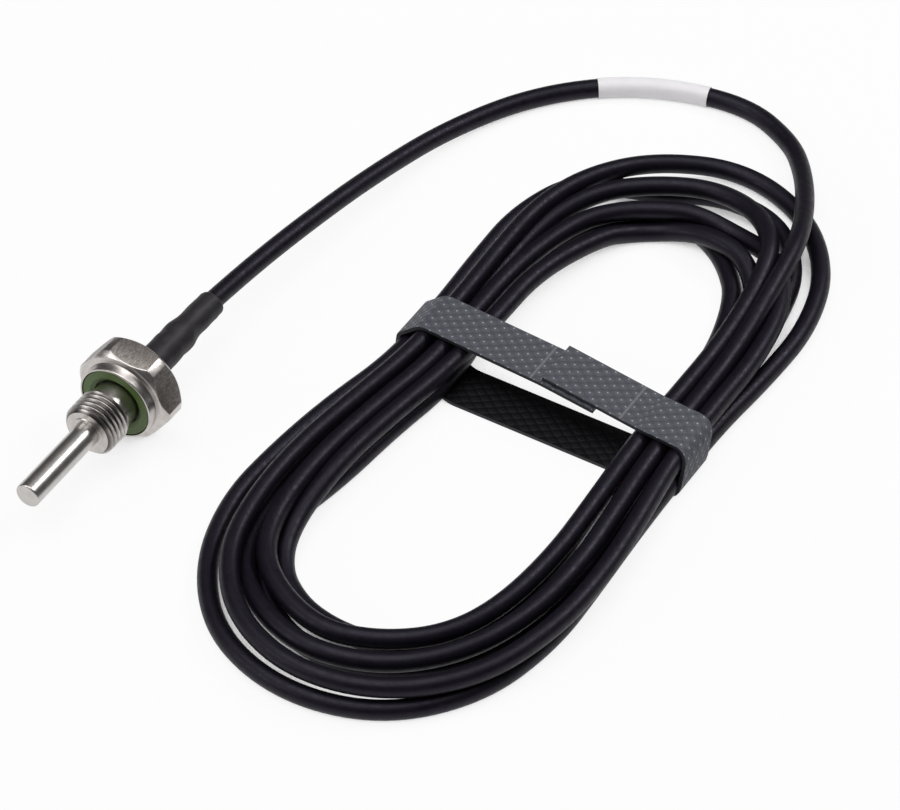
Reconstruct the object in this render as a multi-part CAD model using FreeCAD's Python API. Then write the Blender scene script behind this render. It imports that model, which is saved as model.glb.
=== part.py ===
import FreeCAD, Part
import math
import os

from FreeCAD import Vector

os.makedirs("parts", exist_ok=True)

# Process thread, a G 1/4 parallel pipe thread, with its undercut neck
thread_d = 13.157
thread_length = 11.0
thread_chamfer = 0.8
neck_d = 11.0
neck_length = 3.4
thread_runout = 0.8
weld_ring_d = 8.0
weld_ring_rise = 0.25

# Sealing collar with the groove for the profile ring
collar_d = 18.9
collar_length = 2.5
collar_edge = 0.2
groove_d = 17.8
groove_depth = 1.6

# Hexagon, milled on a turned blank and chamfered on both faces
hex_flats = 22.0
hex_corner_over = 2.2
hex_corner_d = hex_flats + hex_corner_over
hex_length = 7.5
hex_chamfer = 1.3
hex_face_d = hex_corner_d - 2 * hex_chamfer
hex_turn = 8.0

# Crimp spigot behind the hexagon
spigot_d = 6.4
spigot_length = 16.5
spigot_root_round = 0.6
spigot_edge = 0.3
cable_bore_d = 4.8
crimp_depth = 0.25
crimp_width = 2.2
crimp_pitch = 4.6
crimp_count = 2
crimp_rear = 3.4

# Probe tube, drawn with a closed end and pressed into the thread's bore
probe_d = 6.0
probe_wall = 0.5
probe_tip_wall = 1.0
probe_edge = 0.4
probe_length = 23.5
probe_seat = 8.0
press_clearance = 0.02

# Profile seal ring
seal_bore_play = 0.5
seal_inner_d = neck_d + 2 * seal_bore_play
seal_play = 0.1
seal_lip = 0.9
seal_sunk = 0.1
seal_round = 0.3

# Platinum chip, its filling and its two leads
chip_length = 2.3
chip_width = 2.0
chip_thickness = 0.65
chip_to_tip = 0.4
filling_length = 5.6
fill_clearance = 0.02
lead_wire_d = 0.25
lead_wire_length = 7.4

# Liner tube between the sheath and the joints
liner_wall = 0.25
liner_length = 19.0
liner_play = 0.05

# Welded joints, each one tab in its own shrink tube
tab_length = 5.0
tab_width = 1.9
tab_thickness = 0.2
tab_lap = 2.0
joint_tube_wall = 0.15
joint_tube_over = 1.0
joint_tube_play = 0.1

# Four insulated cores inside the cable
core_d = 1.3
core_pitch = 1.36
conductor_d = 0.34
core_strip = 6.0
core_play = 0.02

# Casting resin that closes the body's bore
plug_length = 15.0

# Cable and its outer sleeve
cable_d = 4.6
jacket_bore_d = 3.35
sleeve_length = 29.8
sleeve_wall = 0.7
sleeve_rear_wall = 0.85
sleeve_cone = 4.5
sleeve_swell = 0.12
sleeve_lip = 0.35
sleeve_play = 0.02

# Marker sleeve shrunk on the lead
marker_length = 26.0
marker_wall = 0.15
marker_start = 132.5
marker_play = 0.03

# Strap tied round the waist of the coil
strap_width = 11.6
strap_thickness = 0.9
strap_slant = 0.8
strap_inner_left = 37.8
strap_inner_right = 116.4
strap_lean_left = 2.0
strap_lean_right = 1.0
strap_inner_top = 9.9
strap_front = 8.7
strap_tail_x = 91.0
strap_end_x = 77.2
strap_lap_gap = 0.05
strap_top_round = 5.5
strap_foot_round = 2.8
strap_play = 0.05

# Coil of cable lying flat, seen from above
coil_height = 9.8
coil_edge = 2.2
coil_left = 28.6
coil_right = 119.0
coil_waist_left = 37.4
coil_waist_right = 116.6
coil_near = -89.4
coil_far = 112.8
coil_waist = 18.0
coil_near_bend = 41.5
coil_far_bend = 38.0
hole_left = 52.0
hole_right = 101.6
hole_waist_left = 55.4
hole_waist_right = 99.6
hole_near = -62.4
hole_far = 84.0
hole_near_bend = 22.0
hole_far_bend = 21.0
waist_bend = 120.0

# Lead from the sleeve to the coil: straight behind the sleeve, then corners of its route as
# steps across and along from the sleeve's rear face, and the lift over a cable lying flat
lead_straight = 14.0
lead_steps = [
    (2.2, 35.0, 7.4),
    (5.0, 60.0, 4.4),
    (10.0, 87.5, 1.2),
    (21.5, 111.0, 0.2),
    (40.5, 127.4, 0.2),
    (65.5, 133.8, 0.2),
    (85.5, 126.5, 0.4),
    (93.0, 115.0, 2.6),
    (97.5, 103.0, 4.0),
]
bend_share = 0.45

# Places along the sensor, counted from the sealing face, with the probe towards -Y
thread_front = -thread_length
tip = thread_front - probe_length
hex_front = collar_length
hex_rear = hex_front + hex_length
spigot_rear = hex_rear + spigot_length
sleeve_rear = hex_rear + sleeve_length
shoulder = thread_front + probe_seat
plug_rear = shoulder + plug_length
chip_front = tip + probe_tip_wall + chip_to_tip
chip_rear = chip_front + chip_length
filling_front = tip + probe_tip_wall
filling_rear = filling_front + filling_length
liner_front = filling_rear
joint_front = chip_rear + lead_wire_length - tab_lap
joint_rear = joint_front + tab_length
conductor_front = joint_rear - tab_lap
core_front = conductor_front + core_strip

# Height of the axis when the hexagon rests on the edge of a flat
corner_half_angle = math.acos(hex_flats / hex_corner_d)
axis_height = hex_corner_d / 2 * math.cos(corner_half_angle - math.radians(hex_turn))

# The origin lies under the middle of the sensor, on the surface that it rests on
sealing_face = -(tip + sleeve_rear) / 2
exit_point = Vector(0, sealing_face + sleeve_rear, axis_height)


def rounded_path(points, radii, closed=False):
    """Edges through points: straight runs joined by tangent arcs of the given radii."""
    count = len(points)
    edges = []
    ends = []
    for i, point in enumerate(points):
        if not closed and i in (0, count - 1):
            ends.append((point, None, point))
            continue
        arriving = (point - points[i - 1]).normalize()
        leaving = (points[(i + 1) % count] - point).normalize()
        turn = arriving.getAngle(leaving)
        if not radii[i] or turn < 1e-6:
            ends.append((point, None, point))
            continue
        reach = radii[i] * math.tan(turn / 2)
        start = point - arriving * reach
        end = point + leaving * reach
        inward = (leaving - arriving).normalize()
        centre = point + inward * (radii[i] / math.cos(turn / 2))
        ends.append((start, centre - inward * radii[i], end))
    for i in range(count if closed else count - 1):
        run_start = ends[i][2]
        start, middle, end = ends[(i + 1) % count]
        if (start - run_start).Length > 1e-6:
            edges.append(Part.LineSegment(run_start, start).toShape())
        if middle is not None:
            edges.append(Part.Arc(start, middle, end).toShape())
    return edges


def outline(corners):
    """Flat face in XY; a corner is (x, y) or (x, y, round)."""
    points = [Vector(corner[0], corner[1], 0) for corner in corners]
    radii = [corner[2] if len(corner) > 2 else 0 for corner in corners]
    return Part.Face(Part.Wire(rounded_path(points, radii, closed=True)))


def turned(corners):
    """Solid turned about the Y axis from corners (radius, place along the axis[, round])."""
    return outline(corners).revolve(Vector(0, 0, 0), Vector(0, 1, 0), 360)


def rod(diameter, start, end, x=0, z=0):
    """Round bar along Y."""
    return Part.makeCylinder(diameter / 2, end - start, Vector(x, start, z), Vector(0, 1, 0))


def block(x_range, y_range, z_range):
    """Rectangular block between two corners."""
    size = [high - low for low, high in (x_range, y_range, z_range)]
    return Part.makeBox(*size, Vector(x_range[0], y_range[0], z_range[0]))


def place(shape):
    """Moves a piece from the sensor's axis and sealing face to its place in the part."""
    placed = shape.copy()
    placed.translate(Vector(0, sealing_face, axis_height))
    return placed


def core_places():
    """Centres of the four cores, as (x, z)."""
    half = core_pitch / 2
    return [(-half, half), (half, half), (half, -half), (-half, -half)]


def crimp_corners():
    """Shallow rings that the crimping tool leaves round the spigot, from front to rear."""
    radius = spigot_d / 2
    corners = []
    for ring in range(crimp_count):
        centre = spigot_rear - crimp_rear - (crimp_count - 1 - ring) * crimp_pitch
        corners += [
            (radius, centre - crimp_width / 2),
            (radius - crimp_depth, centre - crimp_width / 4),
            (radius - crimp_depth, centre + crimp_width / 4),
            (radius, centre + crimp_width / 2),
        ]
    return corners


def hex_body():
    """Turned body: thread blank, neck, grooved collar, hexagon and crimp spigot, bored through."""
    thread_r = thread_d / 2
    seat_r = probe_d / 2 + press_clearance
    corners = [
        (seat_r, thread_front - weld_ring_rise),
        (weld_ring_d / 2, thread_front - weld_ring_rise, weld_ring_rise / 2),
        (weld_ring_d / 2, thread_front),
        (thread_r - thread_chamfer, thread_front),
        (thread_r, thread_front + thread_chamfer),
        (thread_r, -neck_length - thread_runout),
        (neck_d / 2, -neck_length),
        (neck_d / 2, groove_depth),
        (groove_d / 2, groove_depth),
        (groove_d / 2, 0),
        (collar_d / 2 - collar_edge, 0),
        (collar_d / 2, collar_edge),
        (collar_d / 2, hex_front),
        (hex_face_d / 2, hex_front),
        (hex_corner_d / 2, hex_front + hex_chamfer),
        (hex_corner_d / 2, hex_rear - hex_chamfer),
        (hex_face_d / 2, hex_rear),
        (spigot_d / 2, hex_rear, spigot_root_round),
    ]
    corners += crimp_corners()
    corners += [
        (spigot_d / 2, spigot_rear - spigot_edge),
        (spigot_d / 2 - spigot_edge, spigot_rear),
        (cable_bore_d / 2, spigot_rear),
        (cable_bore_d / 2, shoulder),
        (seat_r, shoulder),
    ]
    body = turned(corners)
    ring = rod(hex_corner_d + 2, hex_front, hex_rear)
    return body.cut(ring.cut(hexagon()))


def hexagon():
    """Hexagonal bar as long as the hexagon, turned as it rests."""
    across_corners = hex_flats / math.cos(math.pi / 6)
    corners = []
    for i in range(6):
        angle = math.radians(60 * i + hex_turn)
        x = across_corners / 2 * math.cos(angle)
        z = -across_corners / 2 * math.sin(angle)
        corners.append(Vector(x, hex_front, z))
    face = Part.Face(Part.makePolygon(corners + corners[:1]))
    return face.extrude(Vector(0, hex_length, 0))


def probe_tube():
    """Closed-end tube: the tip's edge is rounded and the open end sits on the shoulder."""
    outer = probe_d / 2
    inner = outer - probe_wall
    end = shoulder - press_clearance
    return turned([
        (0, tip),
        (outer, tip, probe_edge),
        (outer, end),
        (inner, end),
        (inner, tip + probe_tip_wall, probe_edge),
        (0, tip + probe_tip_wall),
    ])


def seal_ring():
    """Profile ring: flat back on the groove's floor, sloping lip at its bore."""
    outer = groove_d / 2 - seal_play
    inner = seal_inner_d / 2
    floor = groove_depth - press_clearance
    return turned([
        (inner, floor - seal_lip),
        (inner + seal_lip, seal_sunk, seal_round),
        (outer, seal_sunk, seal_round),
        (outer, floor, seal_round),
        (inner, floor),
    ])


def sensing_element():
    """Thin-film platinum chip on its ceramic strip."""
    half_width = chip_width / 2
    half_thickness = chip_thickness / 2
    return block((-half_width, half_width), (chip_front, chip_rear), (-half_thickness, half_thickness))


def element_leads():
    """Two wires from the chip's rear face to the joints."""
    end = chip_rear + lead_wire_length
    x = tab_range(1)[0] - lead_wire_d / 2
    return [rod(lead_wire_d, chip_rear, end, x=side * x) for side in (-1, 1)]


def tip_filling():
    """Heat-conducting filling round the chip and the start of its leads."""
    radius = probe_d / 2 - probe_wall - fill_clearance
    filling = turned([
        (0, filling_front + fill_clearance),
        (radius, filling_front + fill_clearance, probe_edge),
        (radius, filling_rear - fill_clearance),
        (0, filling_rear - fill_clearance),
    ])
    return filling.cut(Part.makeCompound([sensing_element()] + element_leads()))


def liner_tube():
    """Thin insulating tube inside the sheath."""
    outer = probe_d / 2 - probe_wall - liner_play
    inner = outer - liner_wall
    end = liner_front + liner_length
    return turned([(inner, liner_front), (outer, liner_front), (outer, end), (inner, end)])


def tab_range(side):
    """Range in x of a joint's tab, which lies outside the wires that it carries."""
    near = core_pitch / 2 + conductor_d / 2
    far = near + tab_thickness
    return (near, far) if side > 0 else (-far, -near)


def joint_tabs():
    """Nickel tabs that join one lead wire to two conductors."""
    half = tab_width / 2
    return [block(tab_range(side), (joint_front, joint_rear), (-half, half)) for side in (-1, 1)]


def joint_tubes():
    """Shrink tubes over the two joints."""
    start = joint_front - joint_tube_over
    end = joint_rear + joint_tube_over
    inner_x = core_pitch / 2 - conductor_d / 2 - joint_tube_play
    outer_x = core_pitch / 2 + conductor_d / 2 + tab_thickness + joint_tube_play
    half = tab_width / 2 + joint_tube_play
    wall = joint_tube_wall
    tubes = []
    for side in (-1, 1):
        x_range = (inner_x, outer_x) if side > 0 else (-outer_x, -inner_x)
        bore = block(x_range, (start, end), (-half, half))
        grown = (x_range[0] - wall, x_range[1] + wall)
        tube = block(grown, (start, end), (-half - wall, half + wall))
        long_edges = [edge for edge in tube.Edges if abs(edge.tangentAt(0).y) > 0.9]
        tubes.append(tube.makeFillet(wall, long_edges).cut(bore))
    return tubes


def conductors():
    """Bare copper conductor of each core, from the joints to the lead's first face."""
    return [rod(conductor_d, conductor_front, sleeve_rear, x, z) for x, z in core_places()]


def core(x, z):
    """Insulation of one core, stripped back in front of the joint."""
    insulation = rod(core_d, core_front, sleeve_rear, x, z)
    return insulation.cut(rod(conductor_d, core_front, sleeve_rear, x, z))


def potting_plug():
    """Casting resin in the body's bore, round the four cores."""
    plug = rod(cable_bore_d - 2 * fill_clearance, shoulder + fill_clearance, plug_rear)
    holes = [rod(core_d + 2 * core_play, shoulder, plug_rear, x, z) for x, z in core_places()]
    return plug.cut(Part.makeCompound(holes))


def cable_root():
    """Jacket of the cable inside the spigot and the outer sleeve."""
    jacket = rod(cable_d, plug_rear, sleeve_rear)
    return jacket.cut(rod(jacket_bore_d, plug_rear, sleeve_rear))


def shrink_sleeve():
    """Outer sleeve shrunk over the spigot and the cable: it necks down behind the spigot."""
    on_spigot = spigot_d / 2 + sleeve_play
    on_cable = cable_d / 2 + sleeve_play
    cone_end = spigot_rear + sleeve_cone
    front = hex_rear + spigot_root_round
    swell = sleeve_wall + sleeve_swell
    rear_r = on_cable + sleeve_rear_wall
    halfway = (on_spigot + sleeve_wall + rear_r) / 2
    shape_points = [
        (on_spigot + sleeve_wall, front),
        (on_spigot + swell, (front + spigot_rear) / 2),
        (on_spigot + sleeve_wall, spigot_rear - spigot_edge),
        (halfway, spigot_rear + sleeve_cone / 2),
        (rear_r + sleeve_swell, (cone_end + sleeve_rear) / 2),
        (rear_r - sleeve_swell, sleeve_rear - sleeve_lip),
    ]
    curve = Part.BSplineCurve()
    curve.interpolate([Vector(r, y, 0) for r, y in shape_points])
    lip_r = rear_r - sleeve_swell
    bulge = sleeve_lip * (1 - math.sqrt(0.5))
    lip_start = Vector(lip_r, sleeve_rear - sleeve_lip, 0)
    lip_middle = Vector(lip_r - bulge, sleeve_rear - bulge, 0)
    lip_end = Vector(lip_r - sleeve_lip, sleeve_rear, 0)
    inside = [
        lip_end,
        Vector(on_cable, sleeve_rear, 0),
        Vector(on_cable, cone_end, 0),
        Vector(on_spigot, spigot_rear, 0),
        Vector(on_spigot, front, 0),
        Vector(on_spigot + sleeve_wall, front, 0),
    ]
    edges = [curve.toShape(), Part.Arc(lip_start, lip_middle, lip_end).toShape()]
    edges += [Part.LineSegment(a, b).toShape() for a, b in zip(inside, inside[1:])]
    return Part.Face(Part.Wire(edges)).revolve(Vector(0, 0, 0), Vector(0, 1, 0), 360)


def lead_points():
    """Corners of the lead's route in the part's frame."""
    points = [exit_point, exit_point + Vector(0, lead_straight, 0)]
    for across, along, lift in lead_steps:
        points.append(Vector(across, exit_point.y + along, cable_d / 2 + lift))
    return points


def lead_radii():
    """Radius of the lead's arc at each corner, as large as its two runs allow."""
    points = lead_points()
    radii = [0]
    for before, point, after in zip(points, points[1:], points[2:]):
        turn = (point - before).getAngle(after - point)
        shorter = min((point - before).Length, (after - point).Length)
        radii.append(bend_share * shorter / math.tan(turn / 2))
    return radii + [0]


def swept(edges, radius):
    """Round bar along a run of tangent edges."""
    path = Part.Wire(edges)
    start = edges[0].valueAt(edges[0].FirstParameter)
    direction = edges[0].tangentAt(edges[0].FirstParameter)
    section = Part.Wire(Part.Circle(start, direction, radius).toShape())
    return path.makePipeShell([section], True, False)


def stretch(edges, start, length):
    """The part of a run of edges between two distances from its beginning."""
    parts = []
    for edge in edges:
        first = max(start, 0)
        last = min(start + length, edge.Length)
        if last - first > 1e-6:
            low = edge.getParameterByLength(first)
            high = edge.getParameterByLength(last)
            parts.append(edge.Curve.toShape(low, high))
        start -= edge.Length
    return parts


def cable_lead():
    """Free cable from the sleeve's end, over the surface and up to the side of the coil."""
    return swept(rounded_path(lead_points(), lead_radii()), cable_d / 2)


def marker_sleeve():
    """Thin sleeve shrunk on the lead, where the lead lies on the surface."""
    edges = stretch(rounded_path(lead_points(), lead_radii()), marker_start, marker_length)
    bore = swept(edges, cable_d / 2 + marker_play)
    return swept(edges, cable_d / 2 + marker_play + marker_wall).cut(bore)


def strap_place(x, height, front=strap_front):
    """Point of the slanting plane that the strap lies in, at a height over the surface."""
    return Vector(x, exit_point.y + front + height * strap_slant, height)


def strap_opening(play):
    """Corners (x, height, round) of the strap's opening, smaller by a play; left top first."""
    low = strap_thickness + play
    top = strap_inner_top - play
    left = strap_inner_left + play
    right = strap_inner_right - play
    return [
        (left + strap_lean_left, top, strap_top_round),
        (left, low, strap_foot_round),
        (right, low, strap_foot_round),
        (right - strap_lean_right, top, strap_top_round),
    ]


def tie_strap():
    """Strap as one band: tail under, end over, each side leaning as it was wound."""
    t = strap_thickness
    left_top, left_foot, right_foot, right_top = strap_opening(0)
    lap = strap_inner_top + t + strap_lap_gap
    round_out = strap_top_round + t
    foot_out = strap_foot_round + t
    corners = [
        (strap_tail_x, strap_inner_top, 0),
        left_top,
        left_foot,
        right_foot,
        (right_top[0], lap, strap_top_round),
        (strap_end_x, lap, 0),
        (strap_end_x, lap + t, 0),
        (right_top[0] + t, lap + t, round_out),
        (right_foot[0] + t, 0, foot_out),
        (left_foot[0] - t, 0, foot_out),
        (left_top[0] - t, strap_inner_top + t, round_out),
        (strap_tail_x, strap_inner_top + t, 0),
    ]
    points = [strap_place(x, height) for x, height, _ in corners]
    radii = [radius for _, _, radius in corners]
    face = Part.Face(Part.Wire(rounded_path(points, radii, closed=True)))
    return face.extrude(Vector(0, strap_width, 0))


def strap_channel():
    """What the coil gives up to the strap, all round the strap's opening over its width."""
    opening = strap_opening(strap_play)
    margin = 3 * strap_thickness
    front = strap_front - strap_play
    left, right = strap_inner_left - margin, strap_inner_right + margin
    low, high = -margin, strap_inner_top + margin
    around = [(left, high), (left, low), (right, low), (right, high)]
    hole = [strap_place(x, height, front) for x, height, _ in opening]
    frame = [strap_place(x, height, front) for x, height in around]
    rounds = [radius for _, _, radius in opening]
    inside = Part.Face(Part.Wire(rounded_path(hole, rounds, closed=True)))
    outside = Part.Face(Part.makePolygon(frame + frame[:1]))
    length = Vector(0, strap_width + 2 * strap_play, 0)
    return outside.extrude(length).cut(inside.extrude(length))


def coil_outline(left, right, waist_left, waist_right, near, far, near_bend, far_bend):
    """Long oval, a little narrower at the waist, as a face on the surface."""
    y = exit_point.y
    face = outline([
        (left, y + near, near_bend),
        (right, y + near, near_bend),
        (waist_right, y + coil_waist, waist_bend),
        (right, y + far, far_bend),
        (left + (waist_left - left) * 0.9, y + far, far_bend),
        (waist_left, y + coil_waist, waist_bend),
    ])
    return face


def cable_coil():
    """Outer shape of the tied coil: an oval ring with rounded edges and a channel for the strap."""
    outer = coil_outline(
        coil_left, coil_right, coil_waist_left, coil_waist_right,
        coil_near, coil_far, coil_near_bend, coil_far_bend,
    )
    inner = coil_outline(
        hole_left, hole_right, hole_waist_left, hole_waist_right,
        hole_near, hole_far, hole_near_bend, hole_far_bend,
    )
    ring = outer.cut(inner).extrude(Vector(0, 0, coil_height))
    level_edges = [edge for edge in ring.Edges if edge.BoundBox.ZLength < 1e-6]
    return ring.makeFillet(coil_edge, level_edges).cut(strap_channel())


def write(name, shapes):
    """Writes one piece, or a group of like pieces, to its own file."""
    group = shapes if isinstance(shapes, list) else [shapes]
    solids = [solid for shape in group for solid in shape.Solids]
    shape = solids[0] if len(solids) == 1 else Part.makeCompound(solids)
    shape.exportStep("parts/" + name + ".step")


write("hex_body", place(hex_body()))
write("probe_tube", place(probe_tube()))
write("seal_ring", place(seal_ring()))
write("sensing_element", place(sensing_element()))
write("element_leads", [place(wire) for wire in element_leads()])
write("tip_filling", place(tip_filling()))
write("liner_tube", place(liner_tube()))
write("joint_tabs", [place(tab) for tab in joint_tabs()])
write("joint_tubes", [place(tube) for tube in joint_tubes()])
write("conductors", [place(wire) for wire in conductors()])
for core_name, (core_x, core_z) in zip(("red_a", "red_b", "white_a", "white_b"), core_places()):
    write("core_" + core_name, place(core(core_x, core_z)))
write("potting_plug", place(potting_plug()))
write("cable_root", place(cable_root()))
write("shrink_sleeve", place(shrink_sleeve()))
coil_solid = cable_coil()
lead_solid = cable_lead()
write("cable_lead", lead_solid.cut(coil_solid))
write("marker_sleeve", marker_sleeve())
write("cable_coil", coil_solid)
write("tie_strap", tie_strap())

lead_length = sum(edge.Length for edge in rounded_path(lead_points(), lead_radii()))
section = math.pi * (cable_d / 2) ** 2
print("lead radii", [round(radius, 1) for radius in lead_radii()[1:-1]])
print("lead length", round(lead_length, 1))
print("lead volume over section times length", round(lead_solid.Volume / (section * lead_length), 4))
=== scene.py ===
import math
import bpy
from mathutils import Matrix, Vector


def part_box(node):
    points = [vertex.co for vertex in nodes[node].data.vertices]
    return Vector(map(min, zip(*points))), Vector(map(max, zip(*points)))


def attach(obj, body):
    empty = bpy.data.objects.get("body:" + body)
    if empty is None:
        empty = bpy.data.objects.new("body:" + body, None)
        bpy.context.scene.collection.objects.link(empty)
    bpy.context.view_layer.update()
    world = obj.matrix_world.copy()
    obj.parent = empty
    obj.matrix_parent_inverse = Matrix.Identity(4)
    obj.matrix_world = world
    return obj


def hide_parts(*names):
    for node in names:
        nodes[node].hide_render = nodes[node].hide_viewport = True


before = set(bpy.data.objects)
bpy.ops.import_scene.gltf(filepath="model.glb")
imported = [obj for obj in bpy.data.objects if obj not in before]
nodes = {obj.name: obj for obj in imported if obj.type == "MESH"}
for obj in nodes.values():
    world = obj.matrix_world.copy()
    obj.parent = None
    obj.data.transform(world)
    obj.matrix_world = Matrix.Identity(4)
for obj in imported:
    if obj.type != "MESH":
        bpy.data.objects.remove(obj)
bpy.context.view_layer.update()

# Threaded front of the body: turned from stainless bar, with a G 1/4 thread and an undercut neck.
# The probe tube is pressed into its bore and laser welded, which leaves a small raised ring.
# Everything here is drawn in millimetres and scaled to metres when it is finished.
weld_ring_rise = 0.25
weld_ring_r = 4.0
weld_ring_edge = 0.15
thread_length = 11.0
thread_d = 13.157
thread_pitch = 1.337
thread_depth = 0.856
neck_r = 5.5
seat_r = 3.02
bore_r = 2.4
front_end = -thread_length
weld_face = front_end - weld_ring_rise
thread_r = thread_d / 2
thread_stop = -4.2
seat_floor = -3.0
groove_floor = 1.6

body_low, body_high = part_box("hex_body")
probe_low, probe_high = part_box("probe_tube")
axis_z = 1000 * (probe_low.z + probe_high.z) / 2
sealing_face = 1000 * body_low.y + weld_ring_rise + thread_length


def turned(name, rings, sides=96, bored=True):
    """Turned piece: each ring, a place behind the sealing face and a radius, is extruded from the last."""
    bpy.ops.object.select_all(action="DESELECT")
    bpy.ops.mesh.primitive_circle_add(
        vertices=sides, radius=rings[0][1], fill_type="NOTHING" if bored else "NGON",
        location=(0, sealing_face + rings[0][0], axis_z), rotation=(math.pi / 2, 0, 0))
    piece = bpy.context.object
    piece.name = name
    bpy.ops.object.transform_apply()
    bpy.ops.object.mode_set(mode="EDIT")
    bpy.ops.mesh.select_all(action="SELECT")
    for (last_y, last_r), (y, r) in zip(rings, rings[1:]):
        bpy.ops.mesh.extrude_region_move(TRANSFORM_OT_translate={"value": (0, y - last_y, 0)})
        bpy.ops.transform.resize(
            value=(r / last_r, 1, r / last_r), center_override=(0, sealing_face + y, axis_z))
    bpy.ops.mesh.select_all(action="SELECT")
    bpy.ops.mesh.remove_doubles(threshold=0.001)
    bpy.ops.mesh.normals_make_consistent(inside=False)
    bpy.ops.object.mode_set(mode="OBJECT")
    return piece


def combined(piece, other, operation):
    """Cuts, joins or intersects a piece with another, which is used up."""
    bpy.ops.object.select_all(action="DESELECT")
    piece.select_set(True)
    bpy.context.view_layer.objects.active = piece
    boolean = piece.modifiers.new("cut", "BOOLEAN")
    boolean.operation = operation
    boolean.object = other
    boolean.solver = "EXACT"
    bpy.ops.object.modifier_apply(modifier=boolean.name)
    bpy.data.objects.remove(other)


def edged(piece, width, angle=28, segments=2):
    """Breaks a piece's sharp edges."""
    bpy.ops.object.select_all(action="DESELECT")
    piece.select_set(True)
    bpy.context.view_layer.objects.active = piece
    bevel = piece.modifiers.new("edge", "BEVEL")
    bevel.width = width
    bevel.segments = segments
    bevel.limit_method = "ANGLE"
    bevel.angle_limit = math.radians(angle)
    bevel.use_clamp_overlap = True
    bpy.ops.object.modifier_apply(modifier=bevel.name)


def in_metres(piece, smooth=30):
    """Scales a piece drawn in millimetres, with its place in its mesh, and shades it."""
    bpy.ops.object.select_all(action="DESELECT")
    piece.select_set(True)
    bpy.context.view_layer.objects.active = piece
    piece.data.transform(Matrix.Scale(0.001, 4))
    bpy.ops.object.shade_smooth_by_angle(angle=math.radians(smooth))


# One pitch of the thread's outline, as shares of the pitch and of the depth, swept as a helix.
thread_outline = (
    (0.0, 0.0), (0.06, 0.035), (0.11, 0.12), (0.39, 0.88), (0.44, 0.965),
    (0.5, 1.0), (0.56, 0.965), (0.61, 0.88), (0.89, 0.12), (0.94, 0.035), (1.0, 0.0),
)
thread_turns = 12
root_r = thread_r - thread_depth
rod_margin = 0.6
profile = bpy.data.meshes.new("thread_rod")
rod_start = sealing_face + front_end - 2 * thread_pitch
profile.from_pydata(
    [(root_r + depth * thread_depth, along * thread_pitch, 0) for along, depth in thread_outline],
    [(i, i + 1) for i in range(len(thread_outline) - 1)], [])
thread_rod = bpy.data.objects.new("thread_rod", profile)
bpy.context.scene.collection.objects.link(thread_rod)
bpy.ops.object.select_all(action="DESELECT")
thread_rod.select_set(True)
bpy.context.view_layer.objects.active = thread_rod
screw = thread_rod.modifiers.new("helix", "SCREW")
screw.axis = "Y"
screw.screw_offset = thread_pitch
screw.iterations = thread_turns
screw.steps = screw.render_steps = 72
bpy.ops.object.modifier_apply(modifier=screw.name)
thread_rod.location = (0, rod_start, axis_z)
bpy.ops.object.transform_apply()
bpy.ops.object.mode_set(mode="EDIT")
bpy.ops.mesh.select_all(action="SELECT")
bpy.ops.mesh.remove_doubles(threshold=0.001)
for place, outward in ((front_end - rod_margin, -1), (groove_floor + rod_margin, 1)):
    bpy.ops.mesh.select_all(action="SELECT")
    bpy.ops.mesh.bisect(plane_co=(0, sealing_face + place, axis_z), plane_no=(0, outward, 0),
                        clear_outer=True, use_fill=True)
bpy.ops.mesh.select_all(action="SELECT")
bpy.ops.mesh.normals_make_consistent(inside=False)
bpy.ops.object.mode_set(mode="OBJECT")

threaded_front = turned("threaded_front", (
    (weld_face, seat_r), (weld_face, weld_ring_r - weld_ring_edge), (weld_face + weld_ring_edge, weld_ring_r),
    (front_end, weld_ring_r), (front_end, 5.5),
    (front_end + 1.0, thread_r), (thread_stop, thread_r), (thread_stop + 0.8, neck_r),
    (groove_floor, neck_r), (groove_floor, bore_r), (seat_floor, bore_r), (seat_floor, seat_r),
    (weld_face, seat_r)))
combined(threaded_front, thread_rod, "INTERSECT")
in_metres(threaded_front, 28)


def surface(name, colour, roughness, metallic=0.0):
    """New material with a Principled shader; returns it with its shader and node tree."""
    material = bpy.data.materials.new(name)
    material.use_nodes = True
    tree = material.node_tree
    shader = tree.nodes["Principled BSDF"]
    shader.inputs["Base Color"].default_value = (*colour, 1)
    shader.inputs["Roughness"].default_value = roughness
    shader.inputs["Metallic"].default_value = metallic
    return material, shader, tree


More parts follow.
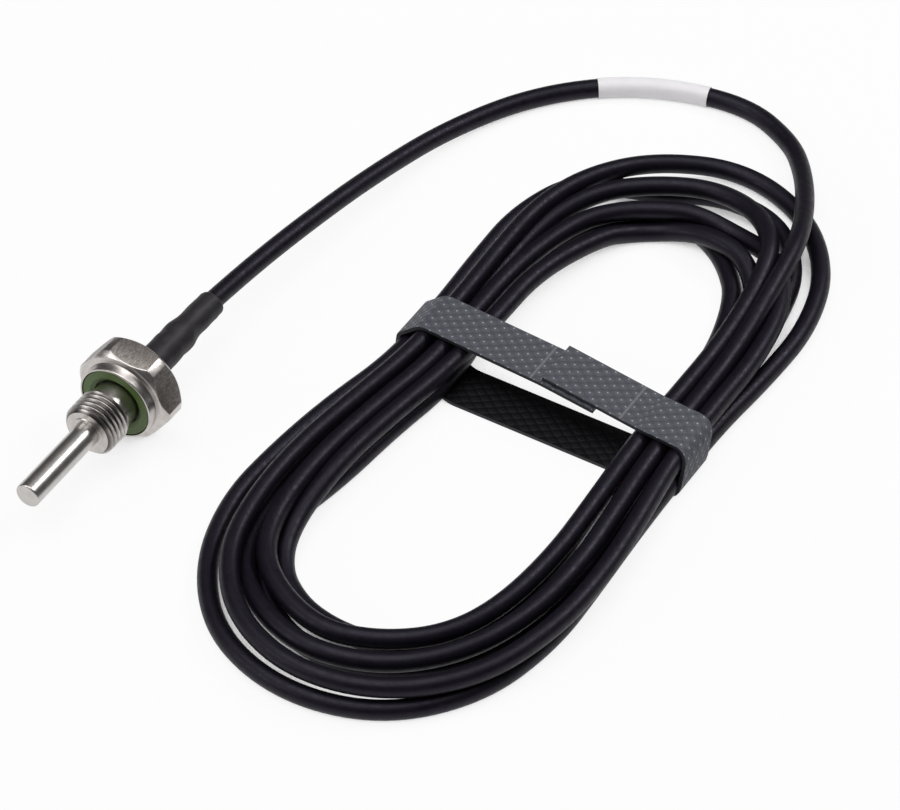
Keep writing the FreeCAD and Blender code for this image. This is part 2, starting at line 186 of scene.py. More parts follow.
def turning_marks_group():
    """Fine rings that a lathe tool leaves: noise that follows only the place along and off the axis."""
    group = bpy.data.node_groups.new("turning_marks", "ShaderNodeTree")
    group.interface.new_socket("Rings", in_out="OUTPUT", socket_type="NodeSocketFloat")
    group.interface.new_socket("Stain", in_out="OUTPUT", socket_type="NodeSocketFloat")
    group.interface.new_socket("Off Axis", in_out="OUTPUT", socket_type="NodeSocketFloat")
    add = group.nodes.new
    out = add("NodeGroupOutput")
    where = add("ShaderNodeTexCoord")
    centred = add("ShaderNodeMapping")
    centred.inputs["Location"].default_value = (0, 0, -axis_z / 1000)
    split = add("ShaderNodeSeparateXYZ")
    flat = add("ShaderNodeCombineXYZ")
    length = add("ShaderNodeVectorMath")
    length.operation = "LENGTH"
    pair = add("ShaderNodeCombineXYZ")
    rings = add("ShaderNodeTexNoise")
    rings.inputs["Scale"].default_value = 9000
    rings.inputs["Detail"].default_value = 3
    stain = add("ShaderNodeTexNoise")
    stain.inputs["Scale"].default_value = 420
    stain.inputs["Detail"].default_value = 5
    link = group.links.new
    link(where.outputs["Object"], centred.inputs["Vector"])
    link(centred.outputs["Vector"], split.inputs["Vector"])
    link(split.outputs["X"], flat.inputs["X"])
    link(split.outputs["Z"], flat.inputs["Z"])
    link(flat.outputs["Vector"], length.inputs[0])
    link(length.outputs["Value"], pair.inputs["X"])
    link(split.outputs["Y"], pair.inputs["Y"])
    link(pair.outputs["Vector"], rings.inputs["Vector"])
    link(where.outputs["Object"], stain.inputs["Vector"])
    link(rings.outputs["Fac"], out.inputs["Rings"])
    link(stain.outputs["Fac"], out.inputs["Stain"])
    link(length.outputs["Value"], out.inputs["Off Axis"])
    return group


turning_marks = turning_marks_group()


def steel(name, dark, light, rough_low, rough_high, mark_depth, shaded_valley=None):
    """Stainless steel with lathe rings and stains; below the crest of a valley, two radii, it darkens with
    painted shade.
    """
    material, shader, tree = surface(name, light, rough_low, 1.0)
    marks = tree.nodes.new("ShaderNodeGroup")
    marks.node_tree = turning_marks
    tint = tree.nodes.new("ShaderNodeMix")
    tint.data_type = "RGBA"
    tint.inputs["A"].default_value = (*dark, 1)
    tint.inputs["B"].default_value = (*light, 1)
    rough = tree.nodes.new("ShaderNodeMapRange")
    rough.inputs["To Min"].default_value = rough_low
    rough.inputs["To Max"].default_value = rough_high
    bump = tree.nodes.new("ShaderNodeBump")
    bump.inputs["Strength"].default_value = 0.35
    bump.inputs["Distance"].default_value = mark_depth
    link = tree.links.new
    link(marks.outputs["Stain"], tint.inputs["Factor"])
    if shaded_valley:
        crest = tree.nodes.new("ShaderNodeMapRange")
        crest.inputs["From Min"].default_value = shaded_valley[0] / 1000
        crest.inputs["From Max"].default_value = shaded_valley[1] / 1000
        lit = tree.nodes.new("ShaderNodeMath")
        lit.operation = "MULTIPLY"
        link(marks.outputs["Off Axis"], crest.inputs["Value"])
        link(crest.outputs["Result"], lit.inputs[0])
        link(marks.outputs["Stain"], lit.inputs[1])
        link(lit.outputs["Value"], tint.inputs["Factor"])
    link(tint.outputs["Result"], shader.inputs["Base Color"])
    link(marks.outputs["Rings"], rough.inputs["Value"])
    link(rough.outputs["Result"], shader.inputs["Roughness"])
    link(marks.outputs["Rings"], bump.inputs["Height"])
    link(bump.outputs["Normal"], shader.inputs["Normal"])
    return material


turned_steel = steel("turned_steel", (0.4, 0.37, 0.345), (0.72, 0.69, 0.67), 0.2, 0.4, 0.00002)
# Thread steel: painted shade darkens it from the crests down into the roots of the thread.
thread_steel = steel(
    "thread_steel", (0.1, 0.09, 0.085), (1.0, 0.96, 0.93), 0.2, 0.38, 0.00001, (root_r, thread_r))
# Painted shade: a dark steel for the floor of the seal's groove and the neck inside the seal, which lie in
# shadow.
groove_steel, *_ = surface("groove_steel", (0.05, 0.046, 0.043), 0.5, 1.0)
for material in (turned_steel, thread_steel, groove_steel):
    threaded_front.data.materials.append(material)
for face in threaded_front.data.polygons:
    along = 1000 * face.center.y - sealing_face
    off_axis = math.hypot(1000 * face.center.x, 1000 * face.center.z - axis_z)
    if front_end + 0.2 < along < thread_stop + 0.3 and root_r - 0.05 < off_axis:
        face.material_index = 1
    # The neck behind the sealing face gets the painted shade.
    elif along > 0.1:
        face.material_index = 2
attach(threaded_front, "root")
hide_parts("hex_body")

# Collar, hexagon and crimp spigot, the rest of the same bar. The collar has a groove for the seal,
# the hexagon is milled on the round blank, so its corners keep the turned round and chamfer.
hex_flats = 22.0
hex_turn = 8.0
hex_front = 2.5
hex_rear = 10.0
groove_r = 8.9
collar_r = 9.45
collar_edge = 0.2
blank_r = 12.1
blank_chamfer = 1.3
spigot_r = 3.2
spigot_rear = 26.5
spigot_edge = 0.3

rear_body = turned("rear_body", (
    (groove_floor, neck_r), (groove_floor, groove_r), (0.0, groove_r), (0.0, collar_r - collar_edge),
    (collar_edge, collar_r), (hex_front, collar_r), (hex_front, blank_r - blank_chamfer),
    (hex_front + blank_chamfer, blank_r), (hex_rear - blank_chamfer, blank_r),
    (hex_rear, blank_r - blank_chamfer), (hex_rear, 3.8), (hex_rear + 0.2, 3.35), (hex_rear + 0.6, spigot_r),
    (spigot_rear - spigot_edge, spigot_r), (spigot_rear, spigot_r - spigot_edge), (spigot_rear, bore_r),
    (groove_floor, bore_r), (groove_floor, neck_r)), sides=144)
hex_corner_r = hex_flats / math.sqrt(3)
cutter = turned("cutter", (
    (hex_front, hex_corner_r), (hex_rear, hex_corner_r), (hex_rear, 20), (hex_front, 20),
    (hex_front, hex_corner_r)), sides=6)
corner = math.atan2(*[cutter.data.vertices[0].co[i] - (0, axis_z)[i // 2] for i in (2, 0)])
cutter.data.transform(Matrix.Translation((0, 0, -axis_z)))
cutter.data.transform(Matrix.Rotation(math.radians(hex_turn) + corner, 4, "Y"))
cutter.data.transform(Matrix.Translation((0, 0, axis_z)))
combined(rear_body, cutter, "DIFFERENCE")
edged(rear_body, 0.12)
in_metres(rear_body, 25)

milled_steel, shader, tree = surface("milled_steel", (0.32, 0.29, 0.27), 0.45, 1.0)
where = tree.nodes.new("ShaderNodeTexCoord")
stretch = tree.nodes.new("ShaderNodeMapping")
stretch.inputs["Scale"].default_value = (2600, 900, 2600)
grain = tree.nodes.new("ShaderNodeTexNoise")
grain.inputs["Scale"].default_value = 1.0
grain.inputs["Detail"].default_value = 6
grain.inputs["Roughness"].default_value = 0.7
tint = tree.nodes.new("ShaderNodeValToRGB")
tint.color_ramp.elements[0].position = 0.35
tint.color_ramp.elements[0].color = (0.2, 0.175, 0.16, 1)
tint.color_ramp.elements[1].position = 0.7
tint.color_ramp.elements[1].color = (0.5, 0.47, 0.44, 1)
bump = tree.nodes.new("ShaderNodeBump")
bump.inputs["Strength"].default_value = 0.5
bump.inputs["Distance"].default_value = 0.00003
tree.links.new(where.outputs["Object"], stretch.inputs["Vector"])
tree.links.new(stretch.outputs["Vector"], grain.inputs["Vector"])
tree.links.new(grain.outputs["Fac"], tint.inputs["Fac"])
tree.links.new(tint.outputs["Color"], shader.inputs["Base Color"])
tree.links.new(grain.outputs["Fac"], bump.inputs["Height"])
tree.links.new(bump.outputs["Normal"], shader.inputs["Normal"])

for material in (turned_steel, milled_steel, groove_steel):
    rear_body.data.materials.append(material)
for face in rear_body.data.polygons:
    centre = face.center - Vector((0, 0, axis_z / 1000))
    outward = Vector((face.normal.x, 0, face.normal.z))
    if outward.length > 0.98 and abs(centre.dot(outward) - hex_flats / 2000) < 0.00005:
        face.material_index = 1
    # The floor of the seal's groove gets the painted shade.
    elif 1000 * centre.xz.length < groove_r + 0.05 and 1000 * centre.y - sealing_face < groove_floor + 0.4:
        face.material_index = 2
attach(rear_body, "root")
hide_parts("hex_body")

# Probe tube, drawn from stainless steel with a closed, rounded tip; brushed along its length.
nodes["probe_tube"].data.materials.clear()
nodes["probe_tube"].data.materials.append(
    steel("brushed_sheath", (0.45, 0.43, 0.41), (0.68, 0.66, 0.63), 0.22, 0.4, 0.00001))

# Profile seal ring of green rubber in the collar's groove. Its moulded skin varies a little in tone.
def speckled(name, colour, roughness, metallic, scale=2500, spread=0.25, relief=0.00001):
    """Plain stuff whose colour and surface vary a little, as moulded, drawn or fired pieces do."""
    material, shader, tree = surface(name, colour, roughness, metallic)
    where = tree.nodes.new("ShaderNodeTexCoord")
    noise = tree.nodes.new("ShaderNodeTexNoise")
    noise.inputs["Scale"].default_value = scale
    noise.inputs["Detail"].default_value = 5
    tint = tree.nodes.new("ShaderNodeMix")
    tint.data_type = "RGBA"
    tint.inputs["A"].default_value = (*[c * (1 - spread) for c in colour], 1)
    tint.inputs["B"].default_value = (*[min(1, c * (1 + spread)) for c in colour], 1)
    bump = tree.nodes.new("ShaderNodeBump")
    bump.inputs["Strength"].default_value = 0.4
    bump.inputs["Distance"].default_value = relief
    tree.links.new(where.outputs["Object"], noise.inputs["Vector"])
    tree.links.new(noise.outputs["Fac"], tint.inputs["Factor"])
    tree.links.new(tint.outputs["Result"], shader.inputs["Base Color"])
    tree.links.new(noise.outputs["Fac"], bump.inputs["Height"])
    tree.links.new(bump.outputs["Normal"], shader.inputs["Normal"])
    return material


nodes["seal_ring"].data.materials.clear()
nodes["seal_ring"].data.materials.append(speckled("seal_green", (0.085, 0.145, 0.033), 0.45, 0.0))

# Inner pieces: platinum chip and its leads, filling, liner, joints, cores and casting resin.
inner_finishes = {
    "sensing_element": ("chip_white", (0.8, 0.78, 0.74), 0.5, 0.0),
    "element_leads": ("nickel_wire", (0.6, 0.58, 0.54), 0.3, 1.0),
    "tip_filling": ("filling_grey", (0.45, 0.45, 0.46), 0.7, 0.0),
    "liner_tube": ("liner_amber", (0.6, 0.42, 0.18), 0.3, 0.0),
    "joint_tabs": ("nickel_tab", (0.6, 0.57, 0.52), 0.35, 1.0),
    "joint_tubes": ("joint_white", (0.75, 0.74, 0.7), 0.5, 0.0),
    "conductors": ("copper_strand", (0.75, 0.36, 0.22), 0.35, 1.0),
    "core_red_a": ("core_red", (0.5, 0.02, 0.015), 0.4, 0.0),
    "core_red_b": ("core_red", (0.5, 0.02, 0.015), 0.4, 0.0),
    "core_white_a": ("core_white", (0.75, 0.74, 0.72), 0.4, 0.0),
    "core_white_b": ("core_white", (0.75, 0.74, 0.72), 0.4, 0.0),
    "potting_plug": ("resin_dark", (0.03, 0.03, 0.035), 0.3, 0.0),
}
for node, (finish, colour, roughness, metallic) in inner_finishes.items():
    nodes[node].data.materials.clear()
    material = bpy.data.materials.get(finish) or speckled(finish, colour, roughness, metallic)
    nodes[node].data.materials.append(material)

# Outer sleeve: soft black tube shrunk hot over the spigot and the cable. It follows the spigot's
# crimps and end, draws in behind them, and keeps a rounded cut lip on the cable.
sleeve_rear = 39.8
sleeve_rings = (
    (10.62, 3.24), (10.6, 3.92), (10.9, 4.02), (13.0, 4.03), (15.6, 4.0), (17.2, 3.93), (18.6, 3.83),
    (20.0, 3.92), (21.3, 3.96), (22.3, 3.84), (23.4, 3.78), (24.6, 3.9), (25.9, 3.94), (27.0, 3.78),
    (28.4, 3.5), (29.8, 3.33), (31.4, 3.3), (33.4, 3.26), (35.4, 3.27), (37.2, 3.22), (38.6, 3.2),
    (39.3, 3.18), (39.65, 3.08), (sleeve_rear, 2.85), (sleeve_rear, 2.33), (31.0, 2.33),
    (spigot_rear, 3.24), (10.62, 3.24),
)
shrink_sleeve = turned("outer_sleeve", sleeve_rings, sides=64)
bpy.ops.object.select_all(action="DESELECT")
shrink_sleeve.select_set(True)
bpy.context.view_layer.objects.active = shrink_sleeve
divide = shrink_sleeve.modifiers.new("finer", "SUBSURF")
divide.levels = divide.render_levels = 1
bpy.ops.object.modifier_apply(modifier=divide.name)
lumps = bpy.data.textures.new("sleeve_lumps", "CLOUDS")
lumps.noise_scale = 3.2
lumps.noise_depth = 1
outside = shrink_sleeve.vertex_groups.new(name="outside")
for vertex in shrink_sleeve.data.vertices:
    off_axis = math.hypot(vertex.co.x, vertex.co.z - axis_z)
    along = vertex.co.y - sealing_face
    if off_axis > (3.5 if along < 28 else 2.9) and 11 < along < 39:
        outside.add([vertex.index], 1.0, "REPLACE")
shrunk = shrink_sleeve.modifiers.new("shrunk", "DISPLACE")
shrunk.texture = lumps
shrunk.texture_coords = "LOCAL"
shrunk.strength = 0.3
shrunk.mid_level = 0.5
shrunk.vertex_group = outside.name
bpy.ops.object.modifier_apply(modifier=shrunk.name)
sleeve_droop = 0.45
for vertex in shrink_sleeve.data.vertices:
    behind = vertex.co.y - sealing_face - spigot_rear
    if behind > 0 and math.hypot(vertex.co.x, vertex.co.z - axis_z) > 2.6:
        vertex.co.z -= sleeve_droop * (behind / (sleeve_rear - spigot_rear)) ** 2
in_metres(shrink_sleeve, 45)
shrink_sleeve.data.materials.append(
    speckled("sleeve_dark", (0.013, 0.0102, 0.0145), 0.55, 0.0, 900, 0.4, 0.0001))
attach(shrink_sleeve, "root")
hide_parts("shrink_sleeve")

# Cable: four cores in a round black jacket, medium stiff. It leaves the sleeve straight, sinks to
# the surface, bends round and climbs on to its own coil, which is wound flat and tied at the waist.
cable_d = 0.0046
exit_point = Vector((0, (sealing_face + sleeve_rear) / 1000, axis_z / 1000))

# Corners of the lead's route: across and along from the sleeve's end, and lift over a cable lying flat.
lead_steps = (
    (0.0022, 0.0350, 0.0068), (0.0049, 0.0600, 0.0044), (0.0098, 0.0878, 0.0012), (0.0213, 0.1112, 0.0002),
    (0.0405, 0.1274, 0.0002), (0.0655, 0.1338, 0.0002), (0.0820, 0.1268, 0.0004), (0.0912, 0.1158, 0.0026),
    (0.0990, 0.1020, 0.0056), (0.1047, 0.0872, 0.0085),
)
route = [exit_point, exit_point + Vector((0, 0.014, -0.0016))]
route += [Vector((across, exit_point.y + along, cable_d / 2 + lift)) for across, along, lift in lead_steps]

# The coil is a long oval with two half rounds. Each turn keeps its own distance inside that oval, in
# millimetres at 24 stations from the far right round to the far left, and climbs over others where
# its level, in cable diameters, leaves the surface.
near_centre = Vector((75.0, -7.65, 0))
far_centre = Vector((77.0, 108.35, 0))
near_r = 41.5
far_r = 38.5
waist_y = 49.35
waist_right = 114.2
waist_left = 40.0
turns = (
    ((9.2, 6.8, 5.9, 5.7, 4.4, 4.0, 6.5, 9.3, 9.6, 9.5, 10.5, 10.6,
      8.8, 6.8, 6.3, 7.6, 7.0, 6.4, 8.6, 12.4, 14.6, 12.6, 12.4, 12.9),
     ((0, 1.6), (1, 1.1), (2, 1), (9, 1), (10, 0.85), (11, 0.2), (12, 0), (17, 0), (18, 0.4), (19, 0.8),
      (20, 1), (21, 1), (22, 1.35), (23, 1.7), (24, 1.2))),
    ((13.2, 11.0, 10.5, 10.4, 9.8, 10.0, 12.8, 15.4, 16.5, 15.8, 16.4, 14.8,
      13.1, 10.3, 9.2, 10.6, 10.9, 11.7, 16.4, 21.4, 23.3, 21.8, 18.3, 11.9),
     ((0, 1.2), (1, 1), (20, 1), (21, 0.95), (22, 0.4), (23, 0.9), (24, 1))),
    ((5.8, 1.9, 1.5, 0.8, -1.2, -1.9, 0.0, 1.6, 2.1, 3.1, 5.1, 7.1,
      7.0, 4.6, 3.95, 5.1, 5.8, 5.6, 6.0, 7.4, 4.3, -1.2, -0.2, 0.9),
     ((0, 1), (19, 1), (20, 0.6), (21, 0), (24, 0))),
    ((-0.4, -0.7, 0.5, 0.0, 0.2, 0.35, 0.8, 1.1, -0.3, 0.1, 0.8, 2.1,
      0.3, -1.2, -2.0, 0.5, 1.0, 0.6, 0.8, 3.4, 13.0, 9.0, 6.5, 7.4),
     ((0, 0), (24, 0))),
    ((7.0, 5.0, 4.4, 4.2, 4.4, 4.8, 7.5, 10.5, 12.2, 12.5, 13.5, 15.0,
      13.4, 15.2, 13.6, 14.9, 13.0, 11.0, 14.5, 19.0, 21.0, 22.3, 23.7, 22.9),
     ((0, 0), (24, 0))),
    ((18.6, 12.6, 12.4, 12.4, 11.6, 11.0, 14.3, 17.7, 19.3, 20.8, 20.3, 18.6,
      16.6, 14.9, 13.7, 15.0, 16.0, 16.8, 22.8, 25.1, 25.8, 26.0, 24.6, 19.0),
     ((0, 0), (11, 0), (12, 0.35), (13, 1), (17, 1), (18, 0.6), (19, 0.1), (20, 0), (21, 0.4), (22, 0.85),
      (23, 0.9), (24, 0.2))),
    ((12.5, 9.4, 8.4, 8.3), ((0, 0.2), (2, 0), (24, 0))),
)


def eased(t):
    """Share from 0 to 1 that starts and ends slowly."""
    return t * t * (3 - 2 * t)


def level_at(levels, station):
    """Level between the stations that are named."""
    for (start, low), (end, high) in zip(levels, levels[1:]):
        if start <= station <= end:
            return low + (high - low) * (station - start) / (end - start)


def oval_point(station, inward):
    """Point at a distance inside the oval; stations run down the right side, round, and up the left."""
    on_side = station % 6 in range(1, 6) and station // 6 in (0, 2)
    if on_side:
        right = station < 6
        share = station / 6 if right else (18 - station) / 6
        y = far_centre.y + (near_centre.y - far_centre.y) * share
        side, waist = (1, waist_right) if right else (-1, waist_left)
        if share < 0.5:
            x = far_centre.x + side * far_r
            x += (waist - x) * eased(2 * share)
            y = far_centre.y + (waist_y - far_centre.y) * 2 * share
        else:
            x = near_centre.x + side * near_r
            x += (waist - x) * eased(2 - 2 * share)
            y = near_centre.y + (waist_y - near_centre.y) * (2 - 2 * share)
        return x - side * inward, y
    near = 6 <= station <= 12
    angle = math.radians((station - 6) * -30 if near else 180 - (station - 18) * 30)
    centre, radius = (near_centre, near_r) if near else (far_centre, far_r)
    corner_share = math.cos(math.radians(8 if station % 6 == 0 else 15))
    reach = (radius - inward) / corner_share
    return centre.x + reach * math.cos(angle), centre.y + reach * math.sin(angle)


for inwards, levels in turns:
    for station, inward in enumerate(inwards):
        x, y = oval_point(station, inward)
        route.append(Vector((x / 1000, y / 1000, cable_d * (0.5 + level_at(levels, station)))))


def route_spline(name, points, depth):
    """Smooth line with the route's points as its control points."""
    curve = bpy.data.curves.new(name, "CURVE")
    curve.dimensions = "3D"
    spline = curve.splines.new("NURBS")
    spline.points.add(len(points) - 1)
    for control, point in zip(spline.points, points):
        control.co = (*point, 1)
    spline.order_u = 3
    spline.use_endpoint_u = True
    spline.resolution_u = 10
    curve.bevel_depth = depth
    curve.bevel_resolution = 8
    curve.use_fill_caps = depth > 0
    piece = bpy.data.objects.new(name, curve)
    bpy.context.scene.collection.objects.link(piece)
    return piece


cable = route_spline("cable", route, cable_d / 2)
cable_black, shader, tree = surface("cable_black", (0.0042, 0.0034, 0.0066), 0.5)
shader.inputs["Specular IOR Level"].default_value = 0.3
shader.inputs["Specular Tint"].default_value = (0.86, 0.8, 1.0, 1)
where = tree.nodes.new("ShaderNodeTexCoord")
mottle = tree.nodes.new("ShaderNodeTexNoise")
mottle.inputs["Scale"].default_value = 700
mottle.inputs["Detail"].default_value = 6
mottle.inputs["Roughness"].default_value = 0.65
rough = tree.nodes.new("ShaderNodeMapRange")
rough.inputs["From Min"].default_value = 0.3
rough.inputs["From Max"].default_value = 0.7
rough.inputs["To Min"].default_value = 0.36
rough.inputs["To Max"].default_value = 0.56
bump = tree.nodes.new("ShaderNodeBump")
bump.inputs["Strength"].default_value = 0.5
bump.inputs["Distance"].default_value = 0.0001
tree.links.new(where.outputs["Object"], mottle.inputs["Vector"])
tree.links.new(mottle.outputs["Fac"], rough.inputs["Value"])
tree.links.new(rough.outputs["Result"], shader.inputs["Roughness"])
tree.links.new(mottle.outputs["Fac"], bump.inputs["Height"])
tree.links.new(bump.outputs["Normal"], shader.inputs["Normal"])
cable.data.materials.append(cable_black)
nodes["cable_root"].data.materials.clear()
nodes["cable_root"].data.materials.append(cable_black)

# Line that the cable really follows, read from its spline.
bare = route_spline("bare_route", route, 0)
line_mesh = bpy.data.meshes.new_from_object(bare)
line = [vertex.co.copy() for vertex in line_mesh.vertices]
bpy.data.objects.remove(bare)
distances = [0.0]
for start, end in zip(line, line[1:]):
    distances.append(distances[-1] + (end - start).length)

# Far end of the cable, under the strap: the jacket is cut square and four cores come out, each with
# its end stripped and tinned.
core_d = 0.0013
core_reach = 0.008
tin_reach = 0.003
end_point = line[-1]
end_along = (line[-1] - line[-4]).normalized()
end_side = end_along.cross(Vector((0, 0, 1))).normalized()
end_up = end_side.cross(end_along)
for number, (side, up, finish) in enumerate((
        (-1, 1, "core_red"), (1, 1, "core_red"), (1, -1, "core_white"), (-1, -1, "core_white"))):
    offset = (end_side * side + end_up * up) * core_d * 0.52
    for label, start, reach, diameter, look in (
            ("core", -0.001, core_reach + 0.001, core_d, finish),
            ("tinned", core_reach - 0.0002, tin_reach, core_d * 0.55, "nickel_wire")):
        spread = offset * (1 + (0.25 if label == "tinned" else 0))
        middle = end_point + spread + end_along * (start + reach / 2)
        bpy.ops.object.select_all(action="DESELECT")
        bpy.ops.mesh.primitive_cylinder_add(
            vertices=20, radius=diameter / 2, depth=reach, location=middle,
            rotation=end_along.to_track_quat("Z", "Y").to_euler())
        wire = bpy.context.object
        wire.name = f"end_{label}_{number}"
        bpy.ops.object.transform_apply()
        edged(wire, diameter * 0.12, 40)
        bpy.ops.object.shade_smooth_by_angle(angle=math.radians(40))
        wire.data.materials.append(bpy.data.materials[look])
        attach(wire, "root")

# Marker sleeve, a short white tube shrunk on the lead where it lies on the surface.
marker_start = 0.1277
marker_length = 0.0302
marker_wall = 0.00018
marker_end = marker_start + marker_length
marker_path = [point for point, along in zip(line, distances) if marker_start <= along <= marker_end]
marker_curve = bpy.data.curves.new("marker_sleeve_white", "CURVE")
marker_curve.dimensions = "3D"
marker_spline = marker_curve.splines.new("POLY")
marker_spline.points.add(len(marker_path) - 1)
for control, point in zip(marker_spline.points, marker_path):
    control.co = (*point, 1)
marker_curve.bevel_depth = cable_d / 2 + 0.00003
marker_curve.bevel_resolution = 10
marker_piece = bpy.data.objects.new("marker_sleeve_white", marker_curve)
bpy.context.scene.collection.objects.link(marker_piece)
bpy.ops.object.select_all(action="DESELECT")
marker_piece.select_set(True)
bpy.context.view_layer.objects.active = marker_piece
bpy.ops.object.convert(target="MESH")
marker_piece = bpy.context.object
wall = marker_piece.modifiers.new("wall", "SOLIDIFY")
wall.thickness = marker_wall
wall.offset = 1
bpy.ops.object.modifier_apply(modifier=wall.name)
bpy.ops.object.shade_smooth_by_angle(angle=math.radians(40))
marker_piece.data.materials.append(
    speckled("marker_white", (0.9, 0.88, 0.9), 0.45, 0.0, 500, 0.04, 0.00004))
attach(marker_piece, "root")
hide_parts("marker_sleeve")

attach(cable, "root")
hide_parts("cable_lead", "cable_coil")

# Tie strap: woven hook-and-loop webbing wound once round the waist of the coil, its tail beneath the
# end that laps over it on the right. It follows the cables that it holds.
strap_width = 12.2
strap_thickness = 0.9
strap_middle = Vector((75.0, 5.0))

# Corners of its path: across, where its front edge lies, height, and how far the corner is rounded.
strap_path = (
    (91.5, 52.35, 9.3, 0.0), (77.0, 53.6, 9.85, 30.0), (44.2, 55.6, 9.9, 4.0), (37.8, 56.6, 4.0, 2.0),
    (37.7, 56.0, 0.5, 1.2), (57.0, 46.25, 0.5, 8.0), (116.9, 46.25, 0.5, 2.4), (116.3, 51.2, 9.85, 4.0),
    (103.0, 52.05, 9.9, 30.0), (77.2, 54.45, 10.95, 0.0),
)
strap_creases = ((74.4, 9.85), (98.0, 10.1))


def rounded_line(corners, step):
    """Points along straight runs joined by rounds, about a step apart."""
    ends = []
    for i, (*place, radius) in enumerate(corners):
        here = Vector(place)
        if radius == 0:
            ends.append([here])
            continue
        before = Vector(corners[i - 1][:3]) - here
        after = Vector(corners[i + 1][:3]) - here
        half = before.angle(after) / 2
        reach = radius / math.tan(half)
        start = here + before.normalized() * reach
        end = here + after.normalized() * reach
        count = max(3, round(radius * (math.pi - 2 * half) / step))
        arc = []
        for k in range(count + 1):
            t = k / count
            arc.append(start * (1 - t) ** 2 + here * 2 * t * (1 - t) + end * t * t)
        ends.append(arc)
    points = []
    for run in ends:
        if points:
            gap = run[0] - points[-1]
            pieces = max(1, round(gap.length / step))
            points += [points[-1] + gap * k / pieces for k in range(1, pieces)]
        points += run
    return points


strap_line = rounded_line(strap_path, 1.0)
across = 12
bpy.ops.object.select_all(action="DESELECT")
bpy.ops.mesh.primitive_grid_add(x_subdivisions=len(strap_line) - 1, y_subdivisions=across, size=2)
strap = bpy.context.object
strap.name = "strap_webbing"
strap_length = sum((b - a).xz.length for a, b in zip(strap_line, strap_line[1:]))
columns = sorted({round(vertex.co.x, 5) for vertex in strap.data.vertices})
for vertex in strap.data.vertices:
    column = columns.index(round(vertex.co.x, 5))
    x, front, z = strap_line[column]
    share = (vertex.co.y + 1) / 2
    vertex.co = (x, front + share * strap_width, z)
solid = strap.modifiers.new("thickness", "SOLIDIFY")
solid.thickness = strap_thickness
solid.offset = 0
bpy.context.view_layer.objects.active = strap
bpy.ops.object.modifier_apply(modifier=solid.name)


def webbing(name, thread, lit_thread, groove):
    """Webbing woven in oblique lens-shaped ribs, each with a painted highlight, a bright speck at its middle,
    and painted shade in the grooves between them.
    """
    material, shader, tree = surface(name, thread, 0.6)
    where = tree.nodes.new("ShaderNodeUVMap")
    cells = tree.nodes.new("ShaderNodeMapping")
    cells.inputs["Scale"].default_value = (strap_length / 3.4, strap_width / 2.6, 1)
    oblique = tree.nodes.new("ShaderNodeMapping")
    oblique.inputs["Rotation"].default_value = (0, 0, math.radians(45))
    oblique.inputs["Scale"].default_value = (1.414, 1.414, 1)
    hooks = tree.nodes.new("ShaderNodeTexVoronoi")
    hooks.voronoi_dimensions = "2D"
    hooks.inputs["Scale"].default_value = 1.0
    hooks.inputs["Randomness"].default_value = 0.12
    # Painted highlight: a bright speck at the middle of each rib.
    painted_glint = tree.nodes.new("ShaderNodeMapRange")
    painted_glint.inputs["From Min"].default_value = 0.04
    painted_glint.inputs["From Max"].default_value = 0.11
    painted_glint.inputs["To Min"].default_value = 1.0
    painted_glint.inputs["To Max"].default_value = 0.0
    rib = tree.nodes.new("ShaderNodeMapRange")
    rib.inputs["From Min"].default_value = 0.25
    rib.inputs["From Max"].default_value = 0.6
    # Painted shade: the grooves between the ribs are darker.
    woven = tree.nodes.new("ShaderNodeMix")
    woven.data_type = "RGBA"
    woven.inputs["A"].default_value = (*thread, 1)
    woven.inputs["B"].default_value = (*groove, 1)
    tint = tree.nodes.new("ShaderNodeMix")
    tint.data_type = "RGBA"
    tint.inputs["B"].default_value = (*lit_thread, 1)
    bump = tree.nodes.new("ShaderNodeBump")
    bump.inputs["Strength"].default_value = 0.8
    bump.inputs["Distance"].default_value = 0.0002
    bump.invert = True
    link = tree.links.new
    link(where.outputs["UV"], cells.inputs["Vector"])
    link(cells.outputs["Vector"], oblique.inputs["Vector"])
    link(oblique.outputs["Vector"], hooks.inputs["Vector"])
    link(hooks.outputs["Distance"], painted_glint.inputs["Value"])
    link(hooks.outputs["Distance"], rib.inputs["Value"])
    link(rib.outputs["Result"], woven.inputs["Factor"])
    link(painted_glint.outputs["Result"], tint.inputs["Factor"])
    link(woven.outputs["Result"], tint.inputs["A"])
    link(tint.outputs["Result"], shader.inputs["Base Color"])
    link(rib.outputs["Result"], bump.inputs["Height"])
    link(bump.outputs["Normal"], shader.inputs["Normal"])
    return material, where, tint, tree


# Slate webbing: its thread colour, then its painted highlight, then its painted shade in the grooves.
strap_slate, where, tint, tree = webbing(
    "strap_slate", (0.085, 0.09, 0.108), (0.45, 0.47, 0.5), (0.06, 0.064, 0.079))
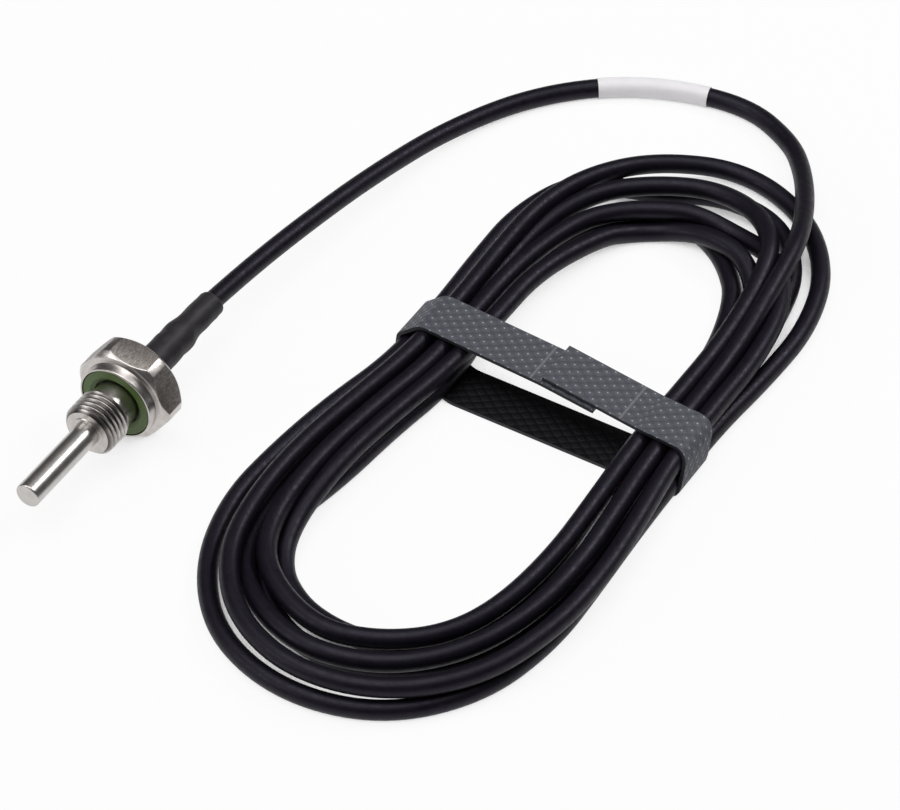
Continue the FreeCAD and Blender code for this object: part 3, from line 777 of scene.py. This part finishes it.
# Painted shade: the strap's inner side, turned towards the cables, is a much darker copy of the same webbing.
strap_inner, *_ = webbing(
    "strap_inner", (0.0045, 0.0045, 0.006), (0.006, 0.006, 0.008), (0.003, 0.003, 0.004))
strap_inner.node_tree.nodes["Principled BSDF"].inputs["Specular IOR Level"].default_value = 0.2
strap_edge = speckled("strap_edge", (0.02, 0.021, 0.026), 0.7, 0.0)
split = tree.nodes.new("ShaderNodeSeparateXYZ")
tree.links.new(where.outputs["UV"], split.inputs["Vector"])
last_mix = tint
for crease in strap_creases:
    column = min(range(len(strap_line)), key=lambda i: (strap_line[i].xz - Vector(crease)).length)
    line_here = tree.nodes.new("ShaderNodeMath")
    line_here.operation = "COMPARE"
    line_here.inputs[1].default_value = column / (len(strap_line) - 1)
    line_here.inputs[2].default_value = 0.28 / strap_length
    pale = tree.nodes.new("ShaderNodeMix")
    pale.data_type = "RGBA"
    pale.inputs["B"].default_value = (0.15, 0.155, 0.17, 1)
    tree.links.new(split.outputs["X"], line_here.inputs[0])
    tree.links.new(line_here.outputs["Value"], pale.inputs["Factor"])
    tree.links.new(last_mix.outputs["Result"], pale.inputs["A"])
    last_mix = pale
tree.links.new(last_mix.outputs["Result"], tree.nodes["Principled BSDF"].inputs["Base Color"])

for material in (strap_slate, strap_inner, strap_edge):
    strap.data.materials.append(material)
for face in strap.data.polygons:
    if abs(face.normal.y) > 0.6:
        face.material_index = 2
    # Faces turned in towards the coil get the painted shade.
    elif (face.center.xz - strap_middle).dot(face.normal.xz) < 0:
        face.material_index = 1
in_metres(strap, 50)
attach(strap, "root")
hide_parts("tie_strap")

# Surface that the part lies on, plain white, with a soft shadow. It is seen almost evenly lit, but not
# down in the slits between cables, where hardly any light gets in.
bpy.ops.object.select_all(action="DESELECT")
bpy.ops.mesh.primitive_plane_add(size=8, location=(0, 0, 0))
floor = bpy.context.object
floor.name = "floor"
bpy.ops.object.transform_apply()
white, shader, tree = surface("floor_white", (0.9, 0.9, 0.9), 0.8)
seen = tree.nodes.new("ShaderNodeLightPath")
glow = tree.nodes.new("ShaderNodeEmission")
glow.inputs["Strength"].default_value = 1.0
openness = tree.nodes.new("ShaderNodeAmbientOcclusion")
openness.samples = 4
openness.inputs["Distance"].default_value = 0.012
clear = tree.nodes.new("ShaderNodeMapRange")
clear.inputs["From Min"].default_value = 0.1
clear.inputs["From Max"].default_value = 0.26
clear.inputs["To Max"].default_value = 0.9
share = tree.nodes.new("ShaderNodeMath")
share.operation = "MULTIPLY"
mix = tree.nodes.new("ShaderNodeMixShader")
looking = seen.outputs["Is Camera Ray"]
for kind in ("Is Transmission Ray", "Is Glossy Ray"):
    either = tree.nodes.new("ShaderNodeMath")
    either.operation = "MAXIMUM"
    tree.links.new(looking, either.inputs[0])
    tree.links.new(seen.outputs[kind], either.inputs[1])
    looking = either.outputs["Value"]
tree.links.new(openness.outputs["AO"], clear.inputs["Value"])
tree.links.new(looking, share.inputs[0])
tree.links.new(clear.outputs["Result"], share.inputs[1])
tree.links.new(share.outputs["Value"], mix.inputs["Fac"])
tree.links.new(shader.outputs["BSDF"], mix.inputs[1])
tree.links.new(glow.outputs["Emission"], mix.inputs[2])
tree.links.new(mix.outputs["Shader"], tree.nodes["Material Output"].inputs["Surface"])
floor.data.materials.append(white)

world = bpy.data.worlds.new("studio")
bpy.context.scene.world = world
world.use_nodes = True
sky = world.node_tree.nodes["Background"]
sky.inputs["Color"].default_value = (1, 0.95, 1, 1)
sky.inputs["Strength"].default_value = 0.07

for name, place, size, power in (
        ("overhead", (-0.1, -0.1, 1.3), 1.2, 12),
        ("rear_box", (0.43, 0.75, 0.84), 0.36, 4.5),
        ("front", (-0.7, -0.8, 0.6), 0.5, 3)):
    lamp = bpy.data.lights.new(name, "AREA")
    lamp.size = size
    lamp.energy = power
    light = bpy.data.objects.new(name, lamp)
    light.location = place
    light.rotation_euler = (Vector((0.05, 0.05, 0)) - Vector(place)).to_track_quat("-Z", "Y").to_euler()
    bpy.context.scene.collection.objects.link(light)

# Camera: a long lens from the front right, above.
camera_data = bpy.data.cameras.new("camera")
camera_data.lens = 200
camera_data.sensor_width = 36
camera = bpy.data.objects.new("camera", camera_data)
camera.location = (0.48337, -0.65628, 0.78203)
camera.rotation_euler = (Vector((0.05797, 0.04615, 0)) - camera.location).to_track_quat("-Z", "Y").to_euler()
bpy.context.scene.collection.objects.link(camera)
bpy.context.scene.camera = camera
bpy.context.scene.view_settings.view_transform = "Standard"
